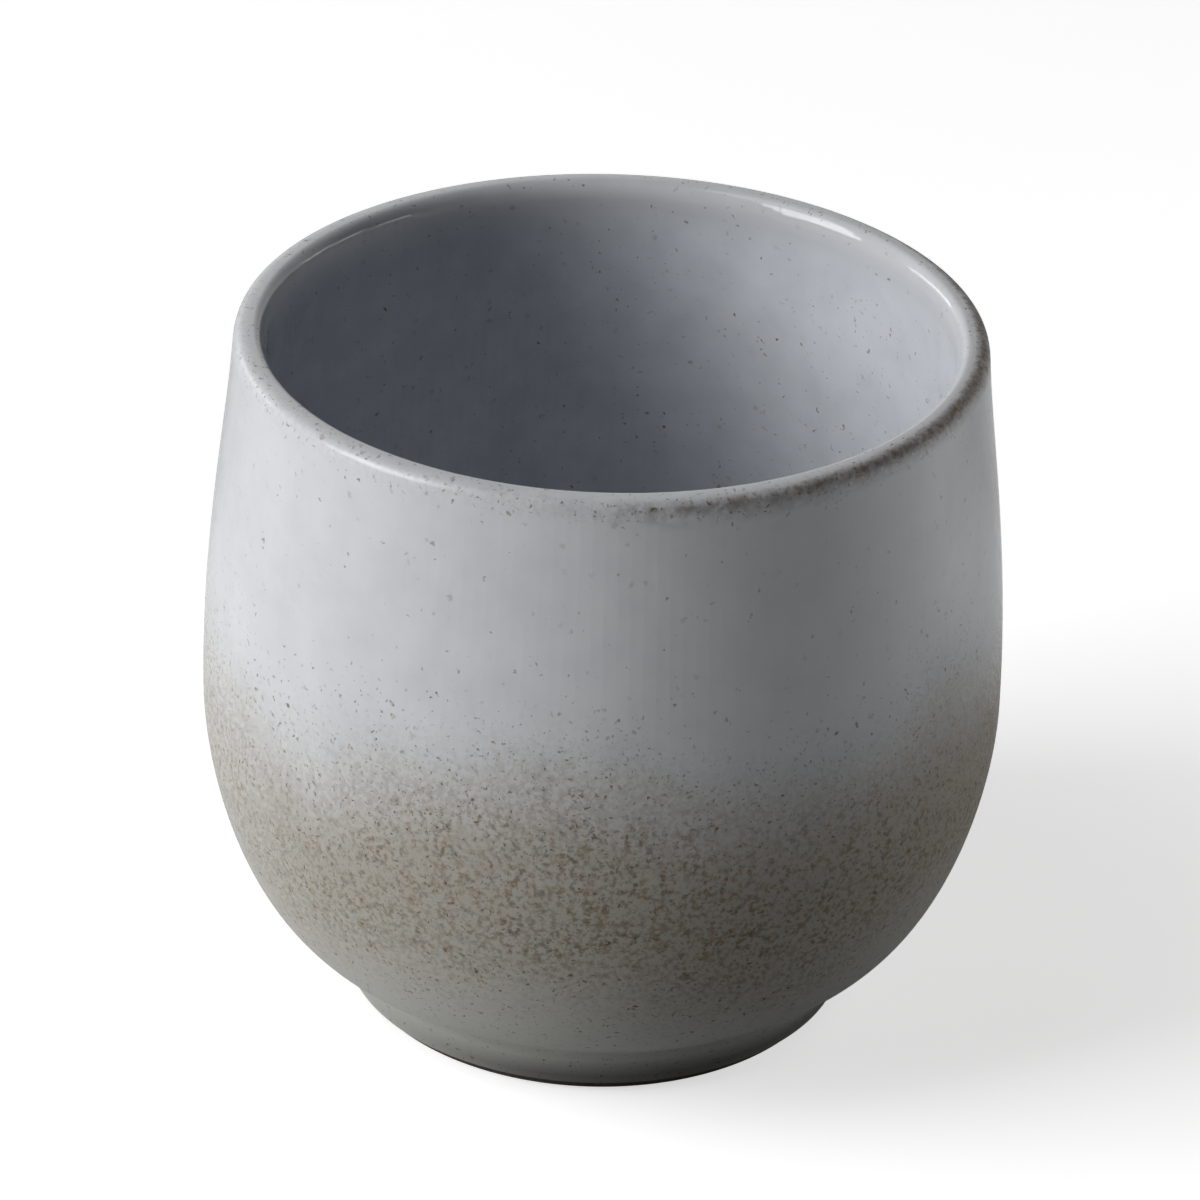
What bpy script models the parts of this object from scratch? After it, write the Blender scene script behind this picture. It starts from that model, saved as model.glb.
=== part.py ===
"""Handleless espresso cup in glazed stoneware.

The thrown bowl stands on a foot ring that is luted under it. Four fired coats of glaze cover the two: a
pale liner inside, a pale coat on the upper outside, a sandy one on the lower outside and one in the recess
under the floor. Units are metres and +Z is up. The origin is the centre of the face that the cup stands on.
"""
import math

import bpy
from mathutils import Vector
from mathutils.geometry import interpolate_bezier

MM = 0.001

# Outside of the finished cup
HEIGHT = 59.9 * MM
BELLY_RADIUS = 33.0 * MM
BELLY_HEIGHT = 27.5 * MM
BELLY_RISE = 14.5 * MM          # reach of the upright belly into the wall above it
BELLY_FALL = 6.4 * MM           # and into the wall below it
LIP_RADIUS = 30.5 * MM          # outer radius where the wall starts to round into the lip
LIP_LEAN = math.radians(4.1)    # how far the wall leans in under the lip
LIP_REACH = 8.1 * MM            # reach of that lean into the wall below it
LIP_OUTER_WIDTH = 1.65 * MM     # broad rounding on the drinking side
LIP_OUTER_DROP = 1.45 * MM      # height of that rounding
LIP_INNER_ROUND = 0.7 * MM      # tighter rounding on the inner side
HEEL_HEIGHT = 4.7 * MM          # where the bowl meets the side of the foot
HEEL_ANGLE = math.radians(19)   # how steeply the bowl leaves the foot
HEEL_REACH = 8.3 * MM           # reach of that slope into the bowl
HEEL_ROUND = 1.5 * MM           # hollow of slip and glaze in that corner

# Inside of the finished cup
WALL = 3.4 * MM                 # clay and both coats, at the belly
INNER_FALL = 11.0 * MM          # reach of the upright inner wall below the belly
FLOOR_RADIUS = 14.0 * MM        # flat middle of the floor
FLOOR_REACH = 12.0 * MM         # reach of the flat floor into the curve round it
FLOOR_THICKNESS = 4.2 * MM      # from the seat of the foot ring to the finished floor

# Foot ring
FOOT_RADIUS = 20.8 * MM         # glazed side, at the bearing face
FOOT_FLARE = 0.5 * MM           # how much wider that side is at the heel
FOOT_HEIGHT = 3.0 * MM          # the bowl's seat on the ring
FOOT_BORE_RADIUS = 16.8 * MM    # clay, inside the ring
FOOT_EDGE_ROUND = 0.9 * MM      # worn edges of the bearing face

# Coats of glaze
GLAZE = 0.3 * MM                # fired thickness
BOND_GAP = 0.3 * MM             # clearance between one piece and the next
LAP_HEIGHT = 28.0 * MM          # where the pale coat ends over the sandy one
LAP_LENGTH = 0.5 * MM           # slant of that edge
GLAZE_LINE = 1.2 * MM           # the foot is wiped bare below this height

# Fineness of the turned surfaces
FACETS = 48
LIP_POINTS = 5
WALL_POINTS = 9
HEEL_POINTS = 4
EDGE_POINTS = 4
MERGE_DISTANCE = 0.001 * MM
ARC_HANDLE = 0.5523             # share of a corner that makes a cubic follow a quarter of an ellipse

# Finishes
PALE_GLAZE = (0.56, 0.60, 0.62)
PALE_ROUGHNESS = 0.2
SANDY_GLAZE = (0.23, 0.20, 0.14)
SANDY_ROUGHNESS = 0.5
STONEWARE = (0.42, 0.34, 0.25)
STONEWARE_ROUGHNESS = 0.85


def curve(start, start_handle, end_handle, end, count):
    """Points of a cubic curve between two places."""
    points = interpolate_bezier(start, start + start_handle, end + end_handle, end, count)
    return [Vector(point) for point in points]


def rounded(start, corner, end, count):
    """Points that round a corner off from start to end."""
    return curve(start, (corner - start) * ARC_HANDLE, (corner - end) * ARC_HANDLE, end, count)


def lip_lean(length):
    """A step down the wall under the lip, where it leans in."""
    return Vector((math.sin(LIP_LEAN), -math.cos(LIP_LEAN))) * length


def outer_skin():
    """Finished outside, from the bearing face up to the crest of the lip."""
    foot = Vector((FOOT_RADIUS, 0.0))
    heel = Vector((FOOT_RADIUS + FOOT_FLARE, HEEL_HEIGHT))
    foot_rise = (heel - foot).normalized()
    bowl_rise = Vector((math.cos(HEEL_ANGLE), math.sin(HEEL_ANGLE)))
    heel_low = heel - foot_rise * HEEL_ROUND
    heel_high = heel + bowl_rise * HEEL_ROUND
    belly = Vector((BELLY_RADIUS, BELLY_HEIGHT))
    belly_fall = Vector((0.0, -BELLY_FALL))
    belly_rise = Vector((0.0, BELLY_RISE))
    lip = Vector((LIP_RADIUS, HEIGHT - LIP_OUTER_DROP))
    lip_corner = Vector((LIP_RADIUS - LIP_OUTER_DROP * math.tan(LIP_LEAN), HEIGHT))
    crest = Vector((LIP_RADIUS - LIP_OUTER_WIDTH, HEIGHT))

    heel_round = rounded(heel_low, heel, heel_high, HEEL_POINTS)
    lower_wall = curve(heel_high, bowl_rise * HEEL_REACH, belly_fall, belly, WALL_POINTS)
    upper_wall = curve(belly, belly_rise, lip_lean(LIP_REACH), lip, WALL_POINTS)
    lip_round = rounded(lip, lip_corner, crest, LIP_POINTS)
    return [foot] + heel_round + lower_wall[1:] + upper_wall[1:] + lip_round[1:]


def inner_skin(crest):
    """Finished inside, from the inner side of the crest down to the middle of the floor."""
    start = crest - Vector((BOND_GAP, 0.0))
    lip = start - Vector((LIP_INNER_ROUND, LIP_INNER_ROUND))
    lip_corner = Vector((lip.x, start.y))
    belly = Vector((BELLY_RADIUS - WALL, BELLY_HEIGHT))
    belly_rise = Vector((0.0, BELLY_RISE))
    belly_fall = Vector((0.0, -INNER_FALL))
    floor_edge = Vector((FLOOR_RADIUS, FOOT_HEIGHT + FLOOR_THICKNESS))
    floor_reach = Vector((FLOOR_REACH, 0.0))
    floor_middle = Vector((0.0, floor_edge.y))

    lip_round = rounded(start, lip_corner, lip, LIP_POINTS)
    upper_wall = curve(lip, lip_lean(LIP_REACH), belly_rise, belly, WALL_POINTS)
    lower_wall = curve(belly, belly_fall, floor_reach, floor_edge, WALL_POINTS)
    return lip_round + upper_wall[1:] + lower_wall[1:] + [floor_middle]


def recess_skin():
    """Finished recess under the floor, from its middle out and down the bore of the foot ring."""
    radius = FOOT_BORE_RADIUS - BOND_GAP - GLAZE
    height = FOOT_HEIGHT - BOND_GAP - GLAZE
    return [Vector((0.0, height)), Vector((radius, height)), Vector((radius, GLAZE_LINE))]


def left_of(step):
    """Unit normal to the left of a step, which is the clay side of every skin."""
    return Vector((-step.y, step.x)).normalized()


def inset(path, depth):
    """The path moved into the clay by one depth all along."""
    normals = [left_of(after - before) for before, after in zip(path, path[1:])]
    moved = []
    for point, before, after in zip(path, normals[:1] + normals, normals + normals[-1:]):
        middle = (before + after).normalized()
        moved.append(point + middle * (depth / middle.dot(after)))
    return moved


def at_height(path, height):
    """The point where a rising path passes a height."""
    for low, high in zip(path, path[1:]):
        if low.y <= height <= high.y:
            return low.lerp(high, (height - low.y) / (high.y - low.y))
    raise ValueError("the path does not reach this height")


def stretch(path, low, high):
    """The part of a rising path between two heights."""
    between = [point for point in path if low < point.y < high]
    return [at_height(path, low)] + between + [at_height(path, high)]


def coat_section(skin, bed):
    """Half-section of a coat between its finished skin and its bed."""
    return skin[::-1] + bed


def bowl_section(clay_outside, clay_inside):
    """Half-section of the bowl, flat underneath where the foot ring is luted on."""
    wall = stretch(clay_outside, FOOT_HEIGHT, clay_outside[-1].y)
    underside_middle = Vector((0.0, FOOT_HEIGHT))
    return clay_inside[::-1] + wall[::-1] + [underside_middle]


def foot_section(clay_outside):
    """Half-section of the foot ring, which carries on the clay's outer side below the bowl."""
    top = FOOT_HEIGHT - BOND_GAP
    side = stretch(clay_outside, FOOT_EDGE_ROUND, top)
    outer_start = side[0]
    outer_corner = Vector((outer_start.x, 0.0))
    outer_end = Vector((outer_start.x - FOOT_EDGE_ROUND, 0.0))
    inner_start = Vector((FOOT_BORE_RADIUS + FOOT_EDGE_ROUND, 0.0))
    inner_corner = Vector((FOOT_BORE_RADIUS, 0.0))
    inner_end = Vector((FOOT_BORE_RADIUS, FOOT_EDGE_ROUND))
    outer_round = rounded(outer_start, outer_corner, outer_end, EDGE_POINTS)
    inner_round = rounded(inner_start, inner_corner, inner_end, EDGE_POINTS)
    return side[::-1] + outer_round[1:] + inner_round + [Vector((FOOT_BORE_RADIUS, top))]


def upper_section(outside, bed_outside):
    """Half-section of the pale coat, from its slanted lower edge up to the crest of the lip."""
    skin = stretch(outside, LAP_HEIGHT - LAP_LENGTH / 2, outside[-1].y)
    bed = stretch(bed_outside, LAP_HEIGHT + LAP_LENGTH / 2, bed_outside[-1].y)
    return coat_section(skin, bed)


def lower_section(outside, bed_outside):
    """Half-section of the sandy coat, from the bare foot up under the slanted edge of the pale one."""
    gap = BOND_GAP * math.hypot(GLAZE, LAP_LENGTH) / GLAZE
    skin = stretch(outside, GLAZE_LINE, LAP_HEIGHT - LAP_LENGTH / 2 - gap)
    bed = stretch(bed_outside, GLAZE_LINE, LAP_HEIGHT + LAP_LENGTH / 2 - gap)
    return coat_section(skin, bed)


def fired_finish(name, colour, roughness):
    """Plain material in the colour of the fired piece."""
    material = bpy.data.materials.new(name)
    material.use_nodes = True
    shader = material.node_tree.nodes["Principled BSDF"]
    shader.inputs["Base Color"].default_value = (*colour, 1.0)
    shader.inputs["Roughness"].default_value = roughness
    shader.inputs["Metallic"].default_value = 0.0
    return material


def turned(name, section, colour, roughness):
    """Turn a half-section about Z. The section stays open where it runs along the axis."""
    edges = []
    for first in range(len(section)):
        second = (first + 1) % len(section)
        if section[first].x > 0.0 or section[second].x > 0.0:
            edges.append((first, second))
    mesh = bpy.data.meshes.new(name)
    mesh.from_pydata([(point.x, 0.0, point.y) for point in section], edges, [])
    mesh.materials.append(fired_finish(name, colour, roughness))
    piece = bpy.data.objects.new(name, mesh)
    screw = piece.modifiers.new("turn", "SCREW")
    screw.steps = FACETS
    screw.render_steps = FACETS
    screw.use_merge_vertices = True
    screw.merge_threshold = MERGE_DISTANCE
    screw.use_smooth_shade = True
    return piece


def main():
    for item in list(bpy.data.objects):
        bpy.data.objects.remove(item, do_unlink=True)

    outside = outer_skin()
    inside = inner_skin(outside[-1])
    crest = len(outside)
    bed = inset(outside + inside, GLAZE)
    clay = inset(outside + inside, GLAZE + BOND_GAP)
    recess = recess_skin()

    bowl = bowl_section(clay[:crest], clay[crest:])
    foot = foot_section(clay[:crest])
    liner = coat_section(inside, bed[crest:])
    upper = upper_section(outside, bed[:crest])
    lower = lower_section(outside, bed[:crest])
    base = coat_section(recess, inset(recess, GLAZE))

    pieces = [
        turned("clay_bowl", bowl, STONEWARE, STONEWARE_ROUGHNESS),
        turned("foot_ring", foot, STONEWARE, STONEWARE_ROUGHNESS),
        turned("liner_glaze", liner, PALE_GLAZE, PALE_ROUGHNESS),
        turned("upper_glaze", upper, PALE_GLAZE, PALE_ROUGHNESS),
        turned("lower_glaze", lower, SANDY_GLAZE, SANDY_ROUGHNESS),
        turned("base_glaze", base, SANDY_GLAZE, SANDY_ROUGHNESS),
    ]

    collection = bpy.data.collections.new("espresso_cup")
    bpy.context.scene.collection.children.link(collection)
    cup = bpy.data.objects.new("cup", None)
    collection.objects.link(cup)
    for piece in pieces:
        piece.parent = cup
        collection.objects.link(piece)


main()
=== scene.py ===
"""Looks of a handleless espresso cup in glazed stoneware.

Every piece is a half-section turned about Z: the thrown bowl, its foot ring and the coats of glaze. The
sections use the cup's driving sizes in metres, and one reactive glaze runs over all the coats, pale above
and sandy below. The stage is a pale floor under soft light from one side.
"""
import math

import bpy
from mathutils import Matrix, Vector
from mathutils.geometry import interpolate_bezier


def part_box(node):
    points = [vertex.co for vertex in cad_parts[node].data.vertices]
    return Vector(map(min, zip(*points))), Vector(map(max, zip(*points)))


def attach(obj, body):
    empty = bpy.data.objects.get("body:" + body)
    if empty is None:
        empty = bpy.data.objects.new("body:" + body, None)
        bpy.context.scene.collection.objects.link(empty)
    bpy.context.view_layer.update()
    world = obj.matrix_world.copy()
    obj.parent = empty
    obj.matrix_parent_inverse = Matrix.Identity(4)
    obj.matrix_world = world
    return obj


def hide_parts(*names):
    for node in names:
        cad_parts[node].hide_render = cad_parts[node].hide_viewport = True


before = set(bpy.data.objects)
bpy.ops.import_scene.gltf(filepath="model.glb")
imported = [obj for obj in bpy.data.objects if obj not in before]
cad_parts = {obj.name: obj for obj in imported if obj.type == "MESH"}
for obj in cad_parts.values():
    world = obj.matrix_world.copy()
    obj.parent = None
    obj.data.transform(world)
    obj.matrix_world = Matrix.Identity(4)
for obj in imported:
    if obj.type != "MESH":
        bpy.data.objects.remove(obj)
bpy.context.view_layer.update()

bl_info = {
    "name": "Stoneware Espresso Cup",
    "version": (1, 0, 0),
    "blender": (4, 5, 0),
    "location": "View3D > Sidebar > Cup",
    "description": "Builds a glazed stoneware espresso cup on its packed frame",
    "category": "Object",
}

MM = 0.001
BODY = "root"
CREST_DISTANCE = "from_crest"
ARC_HANDLE = 0.5523     # share of a corner that makes a cubic follow a quarter of an ellipse
BED_STEP = 3            # the hidden bed of a coat keeps one point in so many
NOISE_SPAN = {"From Min": 0.3, "From Max": 0.7}     # nearly all of a noise's values lie between these


def linear(code):
    """Linear colour of an sRGB hex value."""
    parts = [int(code[start:start + 2], 16) / 255 for start in (1, 3, 5)]
    return tuple(part / 12.92 if part <= 0.04045 else ((part + 0.055) / 1.055) ** 2.4 for part in parts)


def length(name, description, millimetres):
    """A size that a user may change."""
    return bpy.props.FloatProperty(
        name=name, description=description, default=millimetres * MM, min=0.0, unit="LENGTH", precision=5)


def angle(name, description, degrees):
    """An angle that a user may change."""
    return bpy.props.FloatProperty(
        name=name, description=description, default=math.radians(degrees), unit="ROTATION")


def colour(name, description, code):
    """A colour that a user may change."""
    return bpy.props.FloatVectorProperty(
        name=name, description=description, default=linear(code), subtype="COLOR", size=3, min=0.0, max=1.0)


class CupShape(bpy.types.PropertyGroup):
    """Sizes of the finished cup"""

    height: length("Height", "From the table to the crest of the lip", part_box("upper_glaze")[1].z / MM)
    belly_radius: length("Belly Radius", "Widest radius", 33.0)
    belly_height: length("Belly Height", "Height of the widest place", 27.5)
    belly_rise: length("Belly Rise", "Reach of the upright belly into the wall above", 14.5)
    belly_fall: length("Belly Fall", "Reach of the upright belly into the wall below", 6.7)
    lip_radius: length("Lip Radius", "Outer radius where the wall rounds into the lip", 30.5)
    lip_lean: angle("Lip Lean", "How far the wall leans in under the lip", 4.1)
    lip_reach: length("Lip Reach", "Reach of that lean into the wall", 8.1)
    lip_outer_width: length("Lip Outer Width", "Broad rounding on the drinking side", 1.65)
    lip_outer_drop: length("Lip Outer Drop", "Height of that rounding", 1.45)
    lip_fullness: bpy.props.FloatProperty(
        name="Lip Fullness", description="How full the lip's outer corner is; 0.55 rounds it as an ellipse",
        default=0.78, min=0.3, max=0.95)
    lip_inner_width: length("Lip Inner Width", "Rounding on the inner side of the lip", 1.0)
    lip_inner_drop: length("Lip Inner Drop", "Height of that rounding", 1.6)
    cove_depth: length("Cove Depth", "How far the wall falls back under the lip", 0.08)
    cove_height: length("Cove Height", "Height of that hollow", 1.3)
    heel_height: length("Heel Height", "Where the bowl meets the side of the foot", 4.7)
    heel_angle: angle("Heel Angle", "How steeply the bowl leaves the foot", 29.5)
    heel_reach: length("Heel Reach", "Reach of that slope into the bowl", 6.9)
    heel_round: length("Heel Round", "Hollow in the corner over the foot", 3.3)
    wall: length("Wall", "Clay and both coats at the belly", 3.4)
    inner_fall: length("Inner Fall", "Reach of the upright inner wall below the belly", 11.0)
    floor_radius: length("Floor Radius", "Flat middle of the floor", 14.0)
    floor_reach: length("Floor Reach", "Reach of the flat floor into the curve round it", 12.0)
    floor_height: length("Floor Height", "Finished floor over the table", 7.2)
    foot_radius: length("Foot Radius", "Glazed side of the foot at the table", 20.8)
    foot_flare: length("Foot Flare", "How much wider that side is at the heel", 0.5)
    foot_height: length("Foot Height", "The bowl's seat on the foot ring", 3.0)
    foot_bore: length("Foot Bore", "Radius inside the foot ring", 16.8)
    foot_edge: length("Foot Edge", "Worn edges of the bearing face", 0.9)
    glaze: length("Glaze", "Fired thickness of each coat", 0.3)
    bond_gap: length("Bond Gap", "Clearance between one piece and the next", 0.3)
    lap_height: length("Lap Height", "Where the upper coat ends over the lower one", 28.0)
    glaze_line: length("Glaze Line", "The foot is wiped bare below this height", 1.2)
    wobble: length("Wobble", "How far the fired wall strays from true", 0.1)
    around: bpy.props.IntProperty(
        name="Around", description="Faces round each turned piece", default=192, min=24, max=512)


class CupGlaze(bpy.types.PropertyGroup):
    """Colours of the fired surfaces"""

    pale: colour("Pale", "Glaze where it lies thick", "#D5D7DA")
    cloud: colour("Cloud", "Bluish clouds in the pale glaze", "#CED0D4")
    # The liner is painted darker on the shaded inner wall and lighter, towards the lit-side liner below, on
    # the inner wall lit by the key light: painted shade and painted light.
    liner: colour("Liner", "Bluer glaze inside the cup", "#B8BDC5")
    liner_lit_side: colour("Lit Side Liner", "The liner where it lies thickest", "#E2E6EC")
    sand: colour("Sand", "Sprayed band round the belly", "#ADA99F")
    olive: colour("Olive", "Paler satin glaze near the foot", "#B9B9B4")
    umber: colour("Umber", "Dark iron specks", "#584D40")
    rust: colour("Rust", "Orange-brown iron specks", "#7D6849")
    lip_iron: colour("Lip Iron", "Iron that breaks through at the lip", "#5C4A3A")
    # Painted shade: this dark colour is mixed in just above the wiped foot, on the side away from the key
    # light.
    foot_shade: colour("Foot Shade", "Darker glaze just above the wiped foot", "#33322E")
    clay: colour("Clay", "Bare fired stoneware", "#4C463D")


class CupStage(bpy.types.PropertyGroup):
    """Floor, light and camera"""

    floor: colour("Floor", "Pale studio floor", "#EDEDED")
    key: bpy.props.FloatProperty(
        name="Key", description="Power of the large soft light on the left", default=10.8, unit="POWER")
    top: bpy.props.FloatProperty(
        name="Top", description="Power of the soft light above on the left", default=2.1, unit="POWER")
    back: bpy.props.FloatProperty(
        name="Back", description="Power of the strip light behind on the left", default=1.2, unit="POWER")
    fill: bpy.props.FloatProperty(
        name="Fill", description="Power of the low card on the right", default=0.165, unit="POWER")
    lens: bpy.props.FloatProperty(
        name="Lens", description="Focal length of the camera", default=182.06, unit="CAMERA")
    distance: length("Distance", "From the camera to the point it looks at", 500.0)
    elevation: angle("Elevation", "How far the camera looks down", 28.63)
    roll: angle("Roll", "How far the camera leans about its own axis", 1.64)


def node(tree, kind, inputs=None, **settings):
    """Add one node with its settings and links. An input is a value or another node's output."""
    made = tree.nodes.new(kind)
    for name, value in settings.items():
        setattr(made, name, value)
    for key, value in (inputs or {}).items():
        if isinstance(value, bpy.types.NodeSocket):
            tree.links.new(value, made.inputs[key])
        else:
            made.inputs[key].default_value = value
    return made.outputs


def curve(start, start_handle, end_handle, end, count):
    """Points of a cubic curve between two places."""
    points = interpolate_bezier(start, start + start_handle, end + end_handle, end, count)
    return [Vector(point) for point in points]


def rounded(start, corner, end, count, fullness=ARC_HANDLE):
    """Points that round a corner off from start to end."""
    return curve(start, (corner - start) * fullness, (corner - end) * fullness, end, count)


def lean_down(shape, distance):
    """A step down the wall under the lip, where it leans in."""
    return Vector((math.sin(shape.lip_lean), -math.cos(shape.lip_lean))) * distance


def outer_skin(shape, fullness):
    """Finished outside, from the table up to the crest of the lip."""
    foot = Vector((shape.foot_radius, 0.0))
    heel = Vector((shape.foot_radius + shape.foot_flare, shape.heel_height))
    foot_rise = (heel - foot).normalized()
    bowl_rise = Vector((math.cos(shape.heel_angle), math.sin(shape.heel_angle)))
    heel_low = heel - foot_rise * shape.heel_round
    heel_high = heel + bowl_rise * shape.heel_round
    belly = Vector((shape.belly_radius, shape.belly_height))
    lip = Vector((shape.lip_radius, shape.height - shape.lip_outer_drop))
    lip_corner = Vector((lip.x - shape.lip_outer_drop * math.tan(shape.lip_lean), shape.height))
    crest = Vector((shape.lip_radius - shape.lip_outer_width, shape.height))

    foot_side = [foot.lerp(heel_low, share / 8) for share in range(8)]
    heel_round = rounded(heel_low, heel, heel_high, 12)
    lower_wall = curve(heel_high, bowl_rise * shape.heel_reach, Vector((0.0, -shape.belly_fall)), belly, 64)
    upper_wall = curve(belly, Vector((0.0, shape.belly_rise)), lean_down(shape, shape.lip_reach), lip, 64)
    lip_round = rounded(lip, lip_corner, crest, 28, fullness)
    return foot_side + heel_round + lower_wall[1:] + upper_wall[1:] + lip_round[1:]


def inner_skin(shape):
    """Finished inside, from the crest of the lip down to the middle of the floor."""
    crest = Vector((shape.lip_radius - shape.lip_outer_width, shape.height))
    lip = crest - Vector((shape.lip_inner_width, shape.lip_inner_drop))
    lip_corner = Vector((lip.x, crest.y))
    cove = lip + Vector((shape.cove_depth, -shape.cove_height))
    belly = Vector((shape.belly_radius - shape.wall, shape.belly_height))
    floor_edge = Vector((shape.floor_radius, shape.floor_height))
    floor_middle = Vector((0.0, shape.floor_height))

    lip_round = rounded(crest, lip_corner, lip, 24)
    hollow = Vector((0.0, -shape.cove_height / 2))
    cove_wall = curve(lip, hollow, lean_down(shape, -shape.cove_height / 3), cove, 14)
    upper_wall = curve(cove, lean_down(shape, shape.lip_reach), Vector((0.0, shape.belly_rise)), belly, 56)
    floor_reach = Vector((shape.floor_reach, 0.0))
    lower_wall = curve(belly, Vector((0.0, -shape.inner_fall)), floor_reach, floor_edge, 56)
    floor = [floor_edge.lerp(floor_middle, share / 8) for share in range(1, 9)]
    return lip_round + cove_wall[1:] + upper_wall[1:] + lower_wall[1:] + floor


def left_of(step):
    """Unit normal to the left of a step, which is the clay side of every skin."""
    return Vector((-step.y, step.x)).normalized()


def inset(path, depth):
    """The path moved into the clay by one depth all along."""
    normals = [left_of(after - before) for before, after in zip(path, path[1:])]
    moved = []
    for point, before, after in zip(path, normals[:1] + normals, normals + normals[-1:]):
        middle = (before + after).normalized()
        moved.append(point + middle * (depth / middle.dot(after)))
    return moved


def at_height(path, height):
    """The point where a rising path passes a height."""
    for low, high in zip(path, path[1:]):
        if low.y <= height <= high.y:
            return low.lerp(high, (height - low.y) / (high.y - low.y))
    raise ValueError("the path does not reach this height")


def stretch(path, low, high):
    """The part of a rising path between two heights."""
    between = [point for point in path if low < point.y < high]
    return [at_height(path, low)] + between + [at_height(path, high)]


def sparse(path, step):
    """Every few points of a path, with both its ends."""
    return path[:-1:step] + path[-1:]


def lengths_along(path):
    """Distance of each point of a path from its start, along the path."""
    distances = [0.0]
    for before, after in zip(path, path[1:]):
        distances.append(distances[-1] + (after - before).length)
    return distances


def turning_tree():
    """Geometry nodes that turn a half-section about Z and let it stray a little, as a fired wall does."""
    tree = bpy.data.node_groups.new("Turned Section", "GeometryNodeTree")
    sockets = [
        ("Section", "NodeSocketGeometry"),
        ("Around", "NodeSocketInt"),
        ("Wobble", "NodeSocketFloat"),
        ("Wobble Length", "NodeSocketFloat"),
        ("Seed", "NodeSocketInt"),
        ("Sharp Angle", "NodeSocketFloat"),
        ("Material", "NodeSocketMaterial"),
    ]
    for name, kind in sockets:
        tree.interface.new_socket(name, in_out="INPUT", socket_type=kind)
    tree.interface.new_socket("Piece", in_out="OUTPUT", socket_type="NodeSocketGeometry")

    given = node(tree, "NodeGroupInput")
    section = given["Section"]
    columns = node(tree, "ShaderNodeMath", {0: given["Around"], 1: 1.0}, operation="ADD")[0]
    points = node(tree, "GeometryNodeAttributeDomainSize", {"Geometry": section})["Point Count"]
    grid = node(tree, "GeometryNodeMeshGrid", {"Vertices X": points, "Vertices Y": columns})["Mesh"]
    index = node(tree, "GeometryNodeInputIndex")[0]
    share = node(tree, "ShaderNodeMath", {0: index, 1: columns}, operation="DIVIDE")[0]
    along = node(tree, "ShaderNodeMath", {0: share}, operation="FLOOR")[0]
    column = node(tree, "ShaderNodeMath", {0: index, 1: columns}, operation="FLOORED_MODULO")[0]
    place = node(tree, "GeometryNodeInputPosition")[0]
    sampled = node(
        tree, "GeometryNodeSampleIndex", {"Geometry": section, "Value": place, "Index": along},
        data_type="FLOAT_VECTOR")[0]
    attribute = node(
        tree, "GeometryNodeInputNamedAttribute", {"Name": CREST_DISTANCE}, data_type="FLOAT")["Attribute"]
    distance = node(
        tree, "GeometryNodeSampleIndex", {"Geometry": section, "Value": attribute, "Index": along},
        data_type="FLOAT")[0]
    turn = node(tree, "ShaderNodeMath", {0: column, 1: given["Around"]}, operation="DIVIDE")[0]
    turned = node(tree, "ShaderNodeMath", {0: turn, 1: math.tau}, operation="MULTIPLY")[0]
    around_axis = node(
        tree, "ShaderNodeVectorRotate", {"Vector": sampled, "Angle": turned}, rotation_type="Z_AXIS")[0]
    marked = node(
        tree, "GeometryNodeStoreNamedAttribute",
        {"Geometry": grid, "Name": CREST_DISTANCE, "Value": distance}, data_type="FLOAT", domain="POINT")[0]
    shaped = node(tree, "GeometryNodeSetPosition", {"Geometry": marked, "Position": around_axis})[0]
    closed = node(tree, "GeometryNodeMergeByDistance", {"Geometry": shaped, "Distance": 0.001 * MM})[0]

    scaled = node(
        tree, "ShaderNodeVectorMath", {0: place, 1: given["Wobble Length"]}, operation="DIVIDE")[0]
    noise = node(
        tree, "ShaderNodeTexNoise", {"Vector": scaled, "W": given["Seed"], "Scale": 1.0, "Detail": 1.0},
        noise_dimensions="4D")[0]
    stray = node(tree, "ShaderNodeMath", {0: noise, 1: 0.5}, operation="SUBTRACT")[0]
    amount = node(tree, "ShaderNodeMath", {0: stray, 1: given["Wobble"]}, operation="MULTIPLY")[0]
    outward = node(tree, "ShaderNodeVectorMath", {0: place, 1: (1.0, 1.0, 0.0)}, operation="MULTIPLY")[0]
    offset = node(tree, "ShaderNodeVectorMath", {0: outward, "Scale": amount}, operation="SCALE")[0]
    strayed = node(tree, "GeometryNodeSetPosition", {"Geometry": closed, "Offset": offset})[0]

    fold = node(tree, "GeometryNodeInputMeshEdgeAngle")["Unsigned Angle"]
    flat = node(tree, "FunctionNodeCompare", {0: fold, 1: given["Sharp Angle"]}, operation="LESS_THAN")[0]
    smooth = node(
        tree, "GeometryNodeSetShadeSmooth", {"Geometry": strayed, "Shade Smooth": flat}, domain="EDGE")[0]
    real = node(tree, "GeometryNodeRealizeInstances", {"Geometry": smooth})[0]
    finished = node(tree, "GeometryNodeSetMaterial", {"Geometry": real, "Material": given["Material"]})[0]
    node(tree, "NodeGroupOutput", {"Piece": finished})
    return tree


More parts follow.
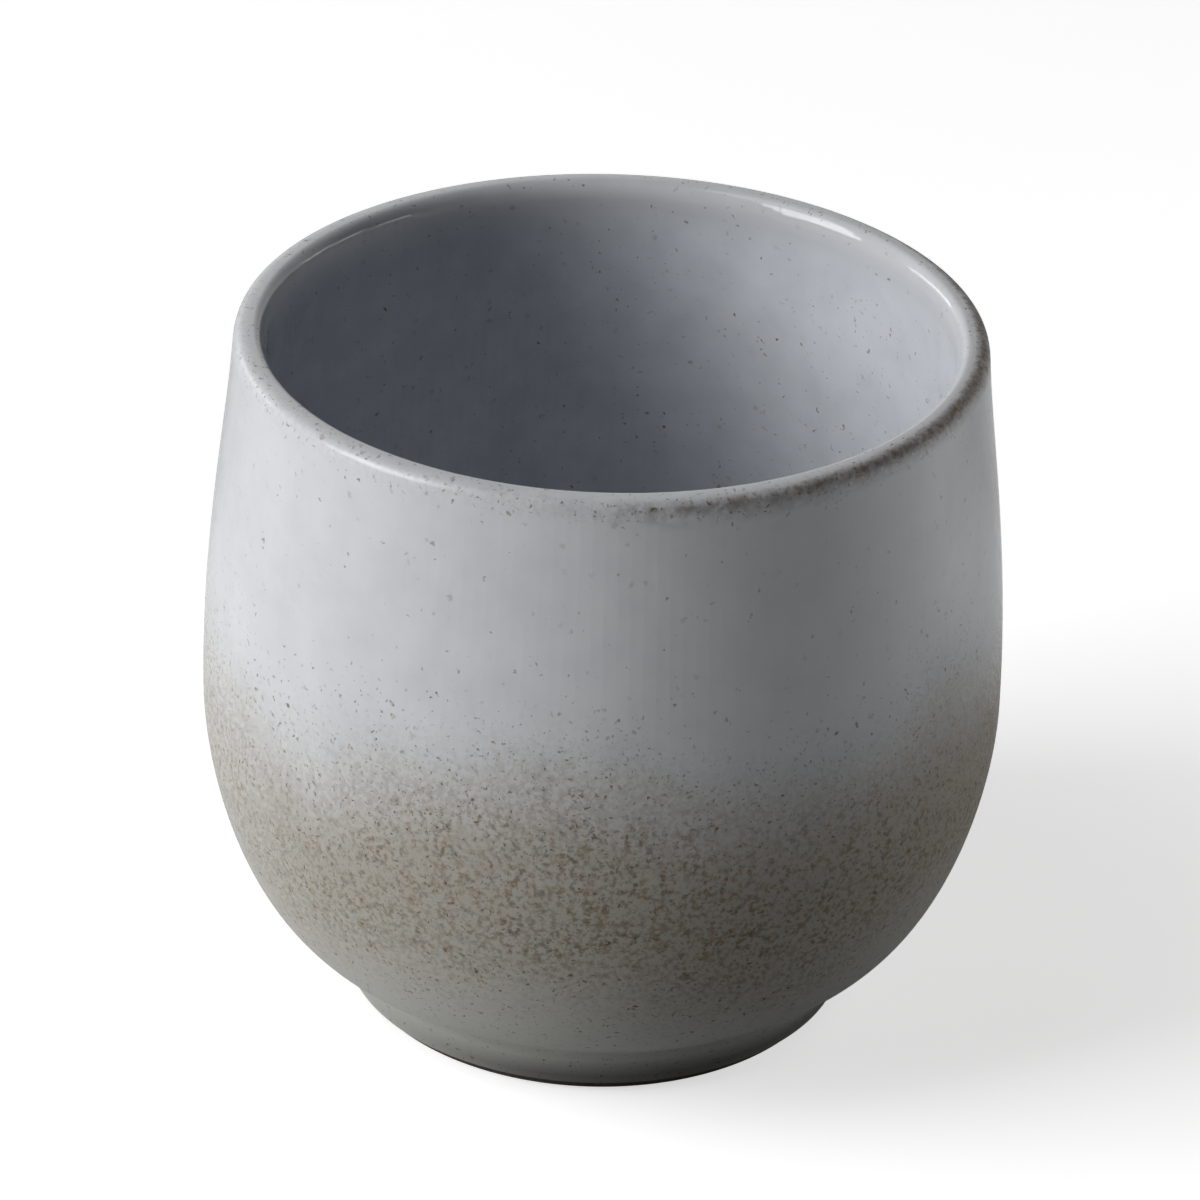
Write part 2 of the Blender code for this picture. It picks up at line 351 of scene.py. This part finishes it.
def turned(name, section, distances, material, shape):
    """Turn a half-section of points about Z into a finished piece."""
    mesh = bpy.data.meshes.new(name)
    edges = [(first, first + 1) for first in range(len(section) - 1)]
    mesh.from_pydata([(point.x, 0.0, point.y) for point in section], edges, [])
    marks = mesh.attributes.new(CREST_DISTANCE, "FLOAT", "POINT")
    marks.data.foreach_set("value", distances)
    piece = bpy.data.objects.new(name, mesh)
    bpy.context.scene.collection.objects.link(piece)

    tree = bpy.data.node_groups.get("Turned Section") or turning_tree()
    modifier = piece.modifiers.new("Turn", "NODES")
    modifier.node_group = tree
    values = {
        "Around": shape.around,
        "Wobble": 2.0 * shape.wobble / shape.belly_radius,
        "Wobble Length": shape.belly_radius,
        "Seed": 7,
        "Sharp Angle": math.radians(40.0),
        "Material": material,
    }
    for item in tree.interface.items_tree:
        if item.in_out == "INPUT" and item.name in values:
            modifier[item.identifier] = values[item.name]

    graph = bpy.context.evaluated_depsgraph_get()
    finished = bpy.data.meshes.new_from_object(piece.evaluated_get(graph))
    finished.name = name
    piece.modifiers.remove(modifier)
    piece.data = finished
    bpy.data.meshes.remove(mesh)
    return piece


def coat(name, skin, skin_distances, depth, material, shape):
    """A thin coat between its finished skin and the bed under it."""
    bed = sparse(inset(skin, depth), BED_STEP)
    bed_distances = sparse(skin_distances, BED_STEP)
    section = skin[::-1] + bed
    distances = skin_distances[::-1] + bed_distances
    if section[0].x > 0.0:
        section.append(section[0])
        distances.append(distances[0])
    return turned(name, section, distances, material, shape)


def finish_material(name):
    """A material and the empty tree for its nodes. The tree is None where the material is already made."""
    material = bpy.data.materials.get(name)
    if material is not None:
        return material, None
    material = bpy.data.materials.new(name)
    material.use_nodes = True
    material.node_tree.nodes.clear()
    return material, material.node_tree


def scattered_specks(tree, place, spacing, reach, amount):
    """Separate iron specks: a mask, and a random value for each speck. Spacing is the mean distance
    between the places that may hold one, reach the largest radius, and amount the share that do."""
    cells = node(tree, "ShaderNodeTexVoronoi", {"Vector": place, "Scale": 1 / spacing})
    draw = node(tree, "ShaderNodeSeparateColor", {"Color": cells["Color"]})
    held = node(tree, "ShaderNodeMath", {0: draw["Red"], 1: amount}, operation="LESS_THAN")[0]
    largest = reach / spacing
    smallest = 0.45 * largest
    edge = node(
        tree, "ShaderNodeMapRange", {"Value": draw["Green"], "To Min": smallest, "To Max": largest})[0]
    core_share = 0.3
    core = node(tree, "ShaderNodeMath", {0: edge, 1: core_share}, operation="MULTIPLY")[0]
    speck = node(
        tree, "ShaderNodeMapRange", {"Value": cells["Distance"], "From Min": edge, "From Max": core},
        interpolation_type="SMOOTHSTEP")[0]
    return node(tree, "ShaderNodeMath", {0: speck, 1: held}, operation="MULTIPLY")[0], draw["Blue"]


def reactive_glaze(glaze):
    """Reactive stoneware glaze, sprayed and fired: glossy and cloudy where it lies thick, breaking to iron
    at the lip, and running out through rusty grains to a satin sand near the foot."""
    material, tree = finish_material("Reactive stoneware glaze")
    if tree is None:
        return material
    place = node(tree, "ShaderNodeTexCoord")["Object"]
    down = node(tree, "ShaderNodeAttribute", attribute_name=CREST_DISTANCE)["Fac"]
    parts = node(tree, "ShaderNodeSeparateXYZ", {0: place})
    turn = node(tree, "ShaderNodeMath", {0: parts["X"], 1: parts["Y"]}, operation="ARCTAN2")[0]

    # The sprayed band's upper edge waves round the cup.
    lobes = node(tree, "ShaderNodeMath", {0: turn, 1: 5.0, 2: -4.01}, operation="MULTIPLY_ADD")[0]
    wave = node(tree, "ShaderNodeMath", {0: lobes}, operation="COSINE")[0]
    drift = node(
        tree, "ShaderNodeTexNoise", {"Vector": place, "Scale": 1 / (13 * MM), "Detail": 3.0})["Fac"]
    sway = node(
        tree, "ShaderNodeMapRange",
        {"Value": drift, **NOISE_SPAN, "To Min": -1.5 * MM, "To Max": 1.5 * MM})[0]
    swayed = node(tree, "ShaderNodeMath", {0: down, 1: sway}, operation="ADD")[0]
    zone = node(
        tree, "ShaderNodeMath", {0: wave, 1: 2 * MM, 2: swayed}, operation="MULTIPLY_ADD")[0]
    rise = node(
        tree, "ShaderNodeMapRange", {"Value": zone, "From Min": 15 * MM, "From Max": 34 * MM},
        interpolation_type="SMOOTHSTEP")[0]
    fall = node(
        tree, "ShaderNodeMapRange",
        {"Value": zone, "From Min": 39 * MM, "From Max": 55 * MM, "To Min": 1.0, "To Max": 0.24},
        interpolation_type="SMOOTHSTEP")[0]
    density = node(tree, "ShaderNodeMath", {0: rise, 1: fall}, operation="MULTIPLY")[0]

    # The spray is heavier on the side away from the key light, and the extra sand and specks it puts there
    # are partly painted shade.
    side = node(
        tree, "ShaderNodeVectorMath", {0: place, 1: (0.9, -0.43, 0.0)}, operation="DOT_PRODUCT")["Value"]
    heavy_spray_and_shade = node(
        tree, "ShaderNodeMapRange",
        {"Value": side, "From Min": -25 * MM, "From Max": 10 * MM, "To Min": 0.78, "To Max": 1.25})[0]

    # The ground is pale and faintly clouded.
    clouds = node(
        tree, "ShaderNodeTexNoise", {"Vector": place, "Scale": 1 / (3.5 * MM), "Detail": 5.0})["Fac"]
    cloud = node(tree, "ShaderNodeMapRange", {"Value": clouds, **NOISE_SPAN})[0]
    pale = node(
        tree, "ShaderNodeMix", {0: cloud, 6: (*glaze.pale, 1.0), 7: (*glaze.cloud, 1.0)},
        data_type="RGBA")[2]

    # Below the lip the inside turns to the bluer liner. Its colour is painted lighter towards +X, on the
    # inner wall lit by the key light, and darker towards -X, on the shaded inner wall, as painted light and
    # shade; the clouding over it is random.
    within = node(
        tree, "ShaderNodeMapRange",
        {"Value": down, "From Min": -1 * MM, "From Max": -5 * MM, "To Max": 0.8})[0]
    # Painted light: this share grows towards +X, the inner wall lit by the key light, where the liner is
    # painted lighter.
    thick = node(
        tree, "ShaderNodeMapRange",
        {"Value": parts["X"], "From Min": -8 * MM, "From Max": 20 * MM, "To Min": 0.08, "To Max": 0.93})[0]
    uneven = node(
        tree, "ShaderNodeMapRange", {"Value": clouds, **NOISE_SPAN, "To Min": -0.2, "To Max": 0.2})[0]
    clouded = node(tree, "ShaderNodeMath", {0: thick, 1: uneven}, operation="ADD")[0]
    liner = node(
        tree, "ShaderNodeMix", {0: clouded, 6: (*glaze.liner, 1.0), 7: (*glaze.liner_lit_side, 1.0)},
        data_type="RGBA")[2]
    pale = node(tree, "ShaderNodeMix", {0: within, 6: pale, 7: liner}, data_type="RGBA")[2]

    # It turns to sand in the band and to a paler olive towards the foot.
    sandy = node(
        tree, "ShaderNodeMapRange", {"Value": zone, "From Min": 20 * MM, "From Max": 37 * MM},
        interpolation_type="SMOOTHSTEP")[0]
    # Partly painted shade: more sand on the side away from the key light.
    sanded = node(tree, "ShaderNodeMath", {0: sandy, 1: heavy_spray_and_shade}, operation="MULTIPLY")[0]
    sand = node(tree, "ShaderNodeMix", {0: sanded, 6: pale, 7: (*glaze.sand, 1.0)}, data_type="RGBA")[2]
    low = node(
        tree, "ShaderNodeMapRange", {"Value": zone, "From Min": 40 * MM, "From Max": 53 * MM},
        interpolation_type="SMOOTHSTEP")[0]
    ground = node(tree, "ShaderNodeMix", {0: low, 6: sand, 7: (*glaze.olive, 1.0)}, data_type="RGBA")[2]

    # Over the lip's outer rounding the glaze runs thin, most on one side and higher up there.
    highest = 0.45 * MM
    lowest = -0.3 * MM
    climb = node(
        tree, "ShaderNodeMapRange",
        {"Value": parts["X"], "From Min": 6 * MM, "From Max": 28 * MM,
         "To Min": lowest, "To Max": highest})[0]
    over = node(tree, "ShaderNodeMath", {0: down, 1: climb}, operation="ADD")[0]
    past_crest = node(
        tree, "ShaderNodeMapRange", {"Value": over, "From Min": 0.5 * MM, "From Max": 1.5 * MM},
        interpolation_type="SMOOTHSTEP")[0]
    short_of_wall = node(
        tree, "ShaderNodeMapRange", {"Value": over, "From Min": 3.6 * MM, "From Max": 1.3 * MM},
        interpolation_type="SMOOTHSTEP")[0]
    lip = node(tree, "ShaderNodeMath", {0: past_crest, 1: short_of_wall}, operation="MULTIPLY")[0]
    lean = node(
        tree, "ShaderNodeVectorMath", {0: place, 1: (0.98, -0.2, 0.0)}, operation="DOT_PRODUCT")["Value"]
    thin = node(tree, "ShaderNodeMapRange", {"Value": lean, "From Min": 0.0, "From Max": 29 * MM})[0]

    # A few grains lie all round the lip.
    onto_lip = node(
        tree, "ShaderNodeMapRange",
        {"Value": down, "From Min": -1.5 * MM, "From Max": 1.2 * MM, "To Max": 0.48},
        interpolation_type="SMOOTHSTEP")[0]
    off_lip = node(
        tree, "ShaderNodeMapRange", {"Value": down, "From Min": 4 * MM, "From Max": 1.5 * MM},
        interpolation_type="SMOOTHSTEP")[0]
    rim = node(tree, "ShaderNodeMath", {0: onto_lip, 1: off_lip}, operation="MULTIPLY")[0]
    lip_crowd = node(tree, "ShaderNodeMath", {0: lip, 1: thin, 2: rim}, operation="MULTIPLY_ADD")[0]

    # Grains gather in clusters, and a few lie inside. Rust and umber ones lie together.
    clusters = node(
        tree, "ShaderNodeTexNoise", {"Vector": place, "Scale": 1 / (2.2 * MM), "Detail": 2.0})["Fac"]
    gather = node(
        tree, "ShaderNodeMapRange",
        {"Value": clusters, **NOISE_SPAN, "To Min": 0.82, "To Max": 1.18})[0]
    gathered = node(tree, "ShaderNodeMath", {0: density, 1: gather}, operation="MULTIPLY")[0]
    # Partly painted shade: more specks on the side away from the key light.
    banded = node(tree, "ShaderNodeMath", {0: gathered, 1: heavy_spray_and_shade}, operation="MULTIPLY")[0]
    lip_grains = node(tree, "ShaderNodeMath", {0: lip_crowd, 1: gather}, operation="MULTIPLY")[0]
    outer_crowd = node(tree, "ShaderNodeMath", {0: banded, 1: lip_grains}, operation="MAXIMUM")[0]
    crowd = node(
        tree, "ShaderNodeMath", {0: within, 1: 0.1, 2: outer_crowd}, operation="MULTIPLY_ADD")[0]
    hues = node(
        tree, "ShaderNodeTexNoise", {"Vector": place, "Scale": 1 / (0.9 * MM), "Detail": 1.0})["Fac"]
    hue = node(tree, "ShaderNodeMapRange", {"Value": hues, "From Min": 0.32, "From Max": 0.6})[0]
    iron = node(
        tree, "ShaderNodeMix", {0: hue, 6: (*glaze.umber, 1.0), 7: (*glaze.rust, 1.0)},
        data_type="RGBA")[2]

    # A soft stain of iron lies under the grains.
    stains = node(
        tree, "ShaderNodeTexNoise",
        {"Vector": place, "Scale": 1 / (0.5 * MM), "Detail": 2.0, "Roughness": 0.6})["Fac"]
    stain = node(
        tree, "ShaderNodeMapRange",
        {"Value": stains, "From Min": 0.42, "From Max": 0.64, "To Max": 0.42})[0]
    packed = node(tree, "ShaderNodeMath", {0: crowd, 1: crowd}, operation="MULTIPLY")[0]
    stained = node(tree, "ShaderNodeMath", {0: stain, 1: packed}, operation="MULTIPLY")[0]
    surface = node(tree, "ShaderNodeMix", {0: stained, 6: ground, 7: iron}, data_type="RGBA")[2]

    # Lone specks lie all over, and more of each kind in the band: spacing, largest radius, share of the
    # places taken outside the band and inside it, and the cover of the faintest and the strongest.
    ragged = node(
        tree, "ShaderNodeTexNoise", {"Vector": place, "Scale": 1 / (0.45 * MM), "Detail": 1.0})["Color"]
    warp = 0.8 * MM
    warped = node(
        tree, "ShaderNodeVectorMath", {0: ragged, 1: (warp, warp, warp), 2: place},
        operation="MULTIPLY_ADD")[0]
    kinds = [
        (1.5 * MM, 0.36 * MM, 0.70, 0.75, 0.03, 0.32),
        (0.72 * MM, 0.27 * MM, 0.03, 0.85, 0.10, 1.00),
        (0.40 * MM, 0.20 * MM, 0.02, 0.90, 0.10, 1.00),
    ]
    cover = stained
    for spacing, reach, outside, inside, faint, strong in kinds:
        amount = node(
            tree, "ShaderNodeMapRange", {"Value": crowd, "To Min": outside, "To Max": inside},
            clamp=False)[0]
        speck, draw = scattered_specks(tree, warped, spacing, reach, amount)
        share = node(tree, "ShaderNodeMapRange", {"Value": draw, "To Min": faint, "To Max": strong})[0]
        covered = node(tree, "ShaderNodeMath", {0: speck, 1: share}, operation="MULTIPLY")[0]
        surface = node(tree, "ShaderNodeMix", {0: covered, 6: surface, 7: iron}, data_type="RGBA")[2]
        cover = node(tree, "ShaderNodeMath", {0: cover, 1: covered}, operation="MAXIMUM")[0]

    # Iron breaks through the thin lip in patches.
    patches = node(
        tree, "ShaderNodeTexNoise",
        {"Vector": place, "Scale": 1 / (1.4 * MM), "Detail": 4.0, "Roughness": 0.65})["Fac"]
    patch = node(
        tree, "ShaderNodeMapRange",
        {"Value": patches, **NOISE_SPAN, "To Min": -0.4, "To Max": 0.4})[0]
    worn = node(tree, "ShaderNodeMath", {0: thin, 1: patch}, operation="ADD")[0]
    bared = node(
        tree, "ShaderNodeMapRange", {"Value": worn, "From Min": 0.25, "From Max": 1.0, "To Max": 0.68})[0]
    broken = node(tree, "ShaderNodeMath", {0: bared, 1: lip}, operation="MULTIPLY")[0]
    surface = node(
        tree, "ShaderNodeMix", {0: broken, 6: surface, 7: (*glaze.lip_iron, 1.0)}, data_type="RGBA")[2]

    # Just above the wiped foot, on the same side as the heavier spray, a dark colour is mixed in: painted
    # shade near the table, on the side away from the key light.
    wiped = node(
        tree, "ShaderNodeMapRange",
        {"Value": down, "From Min": 60.8 * MM, "From Max": 63.0 * MM, "To Max": 0.75})[0]
    # Painted shade is strongest on the side away from the key light.
    shaded_side = node(
        tree, "ShaderNodeMapRange",
        {"Value": side, "From Min": -14 * MM, "From Max": 5 * MM, "To Min": 0.15})[0]
    foot = node(tree, "ShaderNodeMath", {0: wiped, 1: shaded_side}, operation="MULTIPLY")[0]
    surface = node(
        tree, "ShaderNodeMix", {0: foot, 6: surface, 7: (*glaze.foot_shade, 1.0)}, data_type="RGBA")[2]

    # Iron and the satin glaze near the foot are duller than the pale glaze.
    matte = node(tree, "ShaderNodeMath", {0: cover, 1: lip_crowd}, operation="MAXIMUM")[0]
    stippled = node(
        tree, "ShaderNodeMath", {0: stains, 1: 40 * MM, 2: zone}, operation="MULTIPLY_ADD")[0]
    gloss = node(
        tree, "ShaderNodeMapRange",
        {"Value": stippled, "From Min": 46 * MM, "From Max": 64 * MM, "To Min": 0.08, "To Max": 0.5})[0]
    dry = node(tree, "ShaderNodeMath", {0: matte, 1: 0.4, 2: gloss}, operation="MULTIPLY_ADD")[0]
    ripple = node(
        tree, "ShaderNodeTexNoise", {"Vector": place, "Scale": 1 / (2.5 * MM), "Detail": 1.0})["Fac"]
    bump = node(tree, "ShaderNodeBump", {"Height": ripple, "Distance": 0.02 * MM, "Strength": 0.5})[0]
    shader = node(
        tree, "ShaderNodeBsdfPrincipled",
        {"Base Color": surface, "Roughness": dry, "IOR": 1.46, "Normal": bump})
    node(tree, "ShaderNodeOutputMaterial", {"Surface": shader["BSDF"]})
    return material


def bare_stoneware(glaze):
    """Unglazed fired stoneware: warm and dry, with fine grog in it."""
    material, tree = finish_material("Bare stoneware")
    if tree is None:
        return material
    place = node(tree, "ShaderNodeTexCoord")["Object"]
    grog = node(
        tree, "ShaderNodeTexNoise", {"Vector": place, "Scale": 1 / (0.5 * MM), "Detail": 3.0})["Fac"]
    shade = node(
        tree, "ShaderNodeMapRange",
        {"Value": grog, **NOISE_SPAN, "To Min": 0.6, "To Max": 1.1})[0]
    tone = node(
        tree, "ShaderNodeHueSaturation", {"Color": (*glaze.clay, 1.0), "Value": shade})[0]
    bump = node(tree, "ShaderNodeBump", {"Height": grog, "Distance": 0.05 * MM, "Strength": 0.6})[0]
    shader = node(
        tree, "ShaderNodeBsdfPrincipled",
        {"Base Color": tone, "Roughness": 0.85, "Normal": bump})
    node(tree, "ShaderNodeOutputMaterial", {"Surface": shader["BSDF"]})
    return material


def studio_floor(paper):
    """White paper sweep: it shows white to the eye and, away from the foot, in the gloss. It throws less
    light up at the cup than it shows, least of all on the side away from the key light."""
    material, tree = finish_material("White paper sweep")
    if tree is None:
        return material
    path = node(tree, "ShaderNodeLightPath")
    place = node(tree, "ShaderNodeTexCoord")["Object"]
    parts = node(tree, "ShaderNodeSeparateXYZ", {0: place})
    across = parts["X"]
    shaded_spot = (20 * MM, 10 * MM, 0.0)
    reach = node(
        tree, "ShaderNodeVectorMath", {0: place, 1: shaded_spot}, operation="DISTANCE")["Value"]
    direct = node(
        tree, "ShaderNodeMath", {0: path["Is Camera Ray"], 1: path["Is Transmission Ray"]},
        operation="MAXIMUM")[0]
    seen = node(tree, "ShaderNodeMath", {0: direct, 1: path["Is Glossy Ray"]}, operation="MAXIMUM")[0]

    # Painted reflection: for glossy rays the floor glows, darkest near the shaded spot beside the foot,
    # dimmer behind the cup and far to the left.
    clear = node(
        tree, "ShaderNodeMapRange",
        {"Value": reach, "From Min": 45 * MM, "From Max": 115 * MM})[0]
    lit_side = node(
        tree, "ShaderNodeMapRange",
        {"Value": across, "From Min": -120 * MM, "From Max": -20 * MM, "To Min": 0.3, "To Max": 1.0})[0]
    near_half = node(
        tree, "ShaderNodeMapRange",
        {"Value": parts["Y"], "From Min": 40 * MM, "From Max": 90 * MM, "To Min": 1.0, "To Max": 0.1})[0]
    cleared = node(tree, "ShaderNodeMath", {0: clear, 1: near_half}, operation="MULTIPLY")[0]
    around = node(tree, "ShaderNodeMath", {0: cleared, 1: lit_side}, operation="MULTIPLY")[0]
    mirrored = node(tree, "ShaderNodeMath", {0: path["Is Glossy Ray"], 1: around}, operation="MULTIPLY")[0]
    lift = node(tree, "ShaderNodeMath", {0: direct, 1: 0.62, 2: mirrored}, operation="MULTIPLY_ADD")[0]
    shown = node(tree, "ShaderNodeBsdfDiffuse", {"Color": (*paper, 1.0)})[0]
    white_light = (1.0, 1.0, 1.0, 1.0)
    cool_light = (0.94, 0.97, 1.0, 1.0)
    tint = node(
        tree, "ShaderNodeMix", {0: path["Is Glossy Ray"], 6: white_light, 7: cool_light},
        data_type="RGBA")[2]
    glow = node(tree, "ShaderNodeEmission", {"Color": tint, "Strength": lift})[0]
    white = node(tree, "ShaderNodeAddShader", {0: shown, 1: glow})[0]

    grey = node(
        tree, "ShaderNodeMapRange",
        {"Value": across, "From Min": -40 * MM, "From Max": 25 * MM, "To Min": 1.0, "To Max": 0.0})[0]
    dim = node(tree, "ShaderNodeBsdfDiffuse", {"Color": grey})[0]
    sheet = node(tree, "ShaderNodeMixShader", {0: seen, 1: dim, 2: white})[0]
    node(tree, "ShaderNodeOutputMaterial", {"Surface": sheet})
    return material


def studio_backdrop():
    """White backdrop: it shows white to the eye and, where it stands behind the cup, in the gloss."""
    world = bpy.data.worlds.new("Studio")
    world.use_nodes = True
    tree = world.node_tree
    tree.nodes.clear()
    path = node(tree, "ShaderNodeLightPath")
    way = node(tree, "ShaderNodeTexCoord")["Generated"]
    away = node(tree, "ShaderNodeSeparateXYZ", {0: way})["Y"]
    behind = node(
        tree, "ShaderNodeMapRange", {"Value": away, "From Min": 0.1, "From Max": 0.5},
        interpolation_type="SMOOTHSTEP")[0]
    mirrored = node(
        tree, "ShaderNodeMath", {0: path["Is Glossy Ray"], 1: behind}, operation="MULTIPLY")[0]
    direct = node(
        tree, "ShaderNodeMath", {0: path["Is Camera Ray"], 1: path["Is Transmission Ray"]},
        operation="MAXIMUM")[0]
    seen = node(tree, "ShaderNodeMath", {0: direct, 1: mirrored}, operation="MAXIMUM")[0]
    sky = node(tree, "ShaderNodeBackground", {"Color": (1.0, 1.0, 1.0, 1.0), "Strength": seen})[0]
    node(tree, "ShaderNodeOutputWorld", {"Surface": sky})
    return world


def skins(shape, fullness):
    """Outside and inside of the finished cup, with each point's distance from the crest."""
    outside = outer_skin(shape, fullness)
    inside = inner_skin(shape)
    outside_marks = lengths_along(outside[::-1])[::-1]
    inside_marks = [-distance for distance in lengths_along(inside)]
    return outside, outside_marks, inside, inside_marks


def between(path, low, high):
    """Part of a rising path between two heights, and each point's distance from the crest that ends it."""
    part = stretch(path, low, high)
    below = [path[0]] + [point for point in path if point.y < low] + [part[0]]
    start = lengths_along(path[::-1])[-1] - lengths_along(below)[-1]
    return part, [start - step for step in lengths_along(part)]


class CUP_OT_liner_coat(bpy.types.Operator):
    """Pale coat of glaze inside the cup"""

    bl_idname = "cup.liner_coat"
    bl_label = "Liner Coat"

    def execute(self, context):
        shape = context.scene.cup_shape
        _, _, inside, marks = skins(shape, shape.lip_fullness)
        fired = reactive_glaze(context.scene.cup_glaze)
        piece = coat("liner_coat", inside, marks, shape.glaze, fired, shape)
        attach(piece, BODY)
        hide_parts("liner_glaze")
        return {"FINISHED"}


class CUP_OT_outer_coats(bpy.types.Operator):
    """Pale upper coat and sandy lower coat outside the cup"""

    bl_idname = "cup.outer_coats"
    bl_label = "Outer Coats"

    def execute(self, context):
        shape = context.scene.cup_shape
        outside, _, _, _ = skins(shape, shape.lip_fullness)
        fired = reactive_glaze(context.scene.cup_glaze)
        ends = [("upper", shape.lap_height, shape.height), ("lower", shape.glaze_line, shape.lap_height)]
        for name, low, high in ends:
            skin, marks = between(outside, low, high)
            piece = coat(f"{name}_coat", skin, marks, shape.glaze, fired, shape)
            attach(piece, BODY)
            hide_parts(f"{name}_glaze")
        return {"FINISHED"}


class CUP_OT_stoneware(bpy.types.Operator):
    """Bare clay: the thrown bowl under the coats and the foot ring"""

    bl_idname = "cup.stoneware"
    bl_label = "Stoneware"

    def execute(self, context):
        shape = context.scene.cup_shape
        clay = bare_stoneware(context.scene.cup_glaze)
        outside, _, inside, _ = skins(shape, ARC_HANDLE)
        depth = shape.glaze + shape.bond_gap
        crest = len(outside)
        bed = inset(outside + inside[1:], depth)
        clay_outside = bed[:crest]
        wall = stretch(clay_outside, shape.foot_height, clay_outside[-1].y)
        section = bed[crest:][::-1] + wall[::-1] + [Vector((0.0, shape.foot_height))]
        bowl = turned("thrown_bowl", section, [0.0] * len(section), clay, shape)
        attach(bowl, BODY)
        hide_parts("clay_bowl")

        top = shape.foot_height - shape.bond_gap
        edge = shape.foot_edge
        side = stretch(clay_outside, edge, top)
        outer = side[0]
        outer_end = Vector((outer.x - edge, 0.0))
        outer_round = rounded(outer, Vector((outer.x, 0.0)), outer_end, 12)
        inner = Vector((shape.foot_bore + edge, 0.0))
        inner_end = Vector((shape.foot_bore, edge))
        inner_round = rounded(inner, Vector((shape.foot_bore, 0.0)), inner_end, 12)
        section = side[::-1] + outer_round[1:] + inner_round + [Vector((shape.foot_bore, top)), side[-1]]
        foot = turned("bare_foot", section, [0.0] * len(section), clay, shape)
        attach(foot, BODY)
        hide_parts("foot_ring")
        return {"FINISHED"}


class CUP_OT_base_coat(bpy.types.Operator):
    """Satin coat in the recess under the floor"""

    bl_idname = "cup.base_coat"
    bl_label = "Base Coat"

    def execute(self, context):
        shape = context.scene.cup_shape
        radius = shape.foot_bore - shape.bond_gap - shape.glaze
        height = shape.foot_height - shape.bond_gap - shape.glaze
        corner = Vector((radius, height))
        corner_round = 0.7 * MM
        across = corner - Vector((corner_round, 0.0))
        down = corner - Vector((0.0, corner_round))
        skin = [Vector((0.0, height)), Vector((radius / 2, height))]
        skin += rounded(across, corner, down, 8)
        skin.append(Vector((radius, shape.glaze_line)))
        # The base coat so also takes the painted foot shade, darker on the side away from the key light.
        past_foot = 70 * MM     # farther from the crest than the foot, so the coat takes the foot's colours
        fired = reactive_glaze(context.scene.cup_glaze)
        piece = coat("base_coat", skin, [past_foot] * len(skin), shape.glaze, fired, shape)
        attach(piece, BODY)
        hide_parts("base_glaze")
        return {"FINISHED"}


class CUP_OT_stage(bpy.types.Operator):
    """Pale floor, soft light and the camera"""

    bl_idname = "cup.stage"
    bl_label = "Stage"

    def execute(self, context):
        scene = context.scene
        stage = scene.cup_stage
        bpy.ops.mesh.primitive_plane_add(size=6.0, location=(0.0, 0.0, 0.0))
        floor = context.object
        floor.name = "floor"
        floor.data.materials.append(studio_floor(stage.floor))

        # Name, power, degrees round from the camera and up from the floor, size and distance in metres.
        lamps = [
            ("key_light", stage.key, -72.0, 28.0, (0.65, 0.65), 1.2),
            ("top_light", stage.top, -75.0, 58.0, (0.7, 0.5), 1.2),
            ("back_light", stage.back, -125.0, 12.5, (0.6, 0.15), 1.2),
            ("fill_card", stage.fill, 97.0, 11.3, (0.24, 0.06), 0.25),
        ]
        for name, power, around, above, size, distance in lamps:
            lamp = bpy.data.lights.new(name, "AREA")
            lamp.energy = power
            lamp.shape = "RECTANGLE"
            lamp.size, lamp.size_y = size
            turn = math.radians(around)
            rise = math.radians(above)
            level = Vector((math.sin(turn), -math.cos(turn), 0.0)) * math.cos(rise)
            way = level + Vector((0.0, 0.0, math.sin(rise)))
            lamp_object = bpy.data.objects.new(name, lamp)
            lamp_object.location = way * distance
            lamp_object.rotation_euler = (-way).to_track_quat("-Z", "Y").to_euler()
            lamp_object.visible_camera = False
            scene.collection.objects.link(lamp_object)

        scene.world = studio_backdrop()

        camera_data = bpy.data.cameras.new("camera")
        camera_data.lens = stage.lens
        camera_data.sensor_width = 36.0
        camera = bpy.data.objects.new("camera", camera_data)
        back = Vector((0.0, -math.cos(stage.elevation), math.sin(stage.elevation)))
        target = Vector((-0.339 * MM, 0.0, 34.9 * MM))
        look = (-back).to_track_quat("-Z", "Y").to_matrix().to_4x4()
        lean = Matrix.Rotation(stage.roll, 4, "Z")
        camera.matrix_world = Matrix.Translation(target + back * stage.distance) @ look @ lean
        scene.collection.objects.link(camera)
        scene.camera = camera
        scene.view_settings.view_transform = "Standard"
        return {"FINISHED"}


class CUP_PT_panel(bpy.types.Panel):
    """Steps that build the cup"""

    bl_label = "Espresso Cup"
    bl_idname = "CUP_PT_panel"
    bl_space_type = "VIEW_3D"
    bl_region_type = "UI"
    bl_category = "Cup"

    def draw(self, context):
        for group in (context.scene.cup_shape, context.scene.cup_glaze, context.scene.cup_stage):
            for name in group.__annotations__:
                self.layout.prop(group, name)
        for step in STEPS:
            self.layout.operator(step.bl_idname)


STEPS = (CUP_OT_stoneware, CUP_OT_liner_coat, CUP_OT_outer_coats, CUP_OT_base_coat, CUP_OT_stage)
GROUPS = {"cup_shape": CupShape, "cup_glaze": CupGlaze, "cup_stage": CupStage}
CLASSES = (*GROUPS.values(), *STEPS, CUP_PT_panel)


def register():
    for item in CLASSES:
        bpy.utils.register_class(item)
    for name, group in GROUPS.items():
        setattr(bpy.types.Scene, name, bpy.props.PointerProperty(type=group))


def unregister():
    for name in GROUPS:
        delattr(bpy.types.Scene, name)
    for item in reversed(CLASSES):
        bpy.utils.unregister_class(item)


def main():
    register()
    bpy.ops.cup.stoneware()
    bpy.ops.cup.liner_coat()
    bpy.ops.cup.outer_coats()
    bpy.ops.cup.base_coat()
    bpy.ops.cup.stage()


if __name__ == "__main__":
    main()
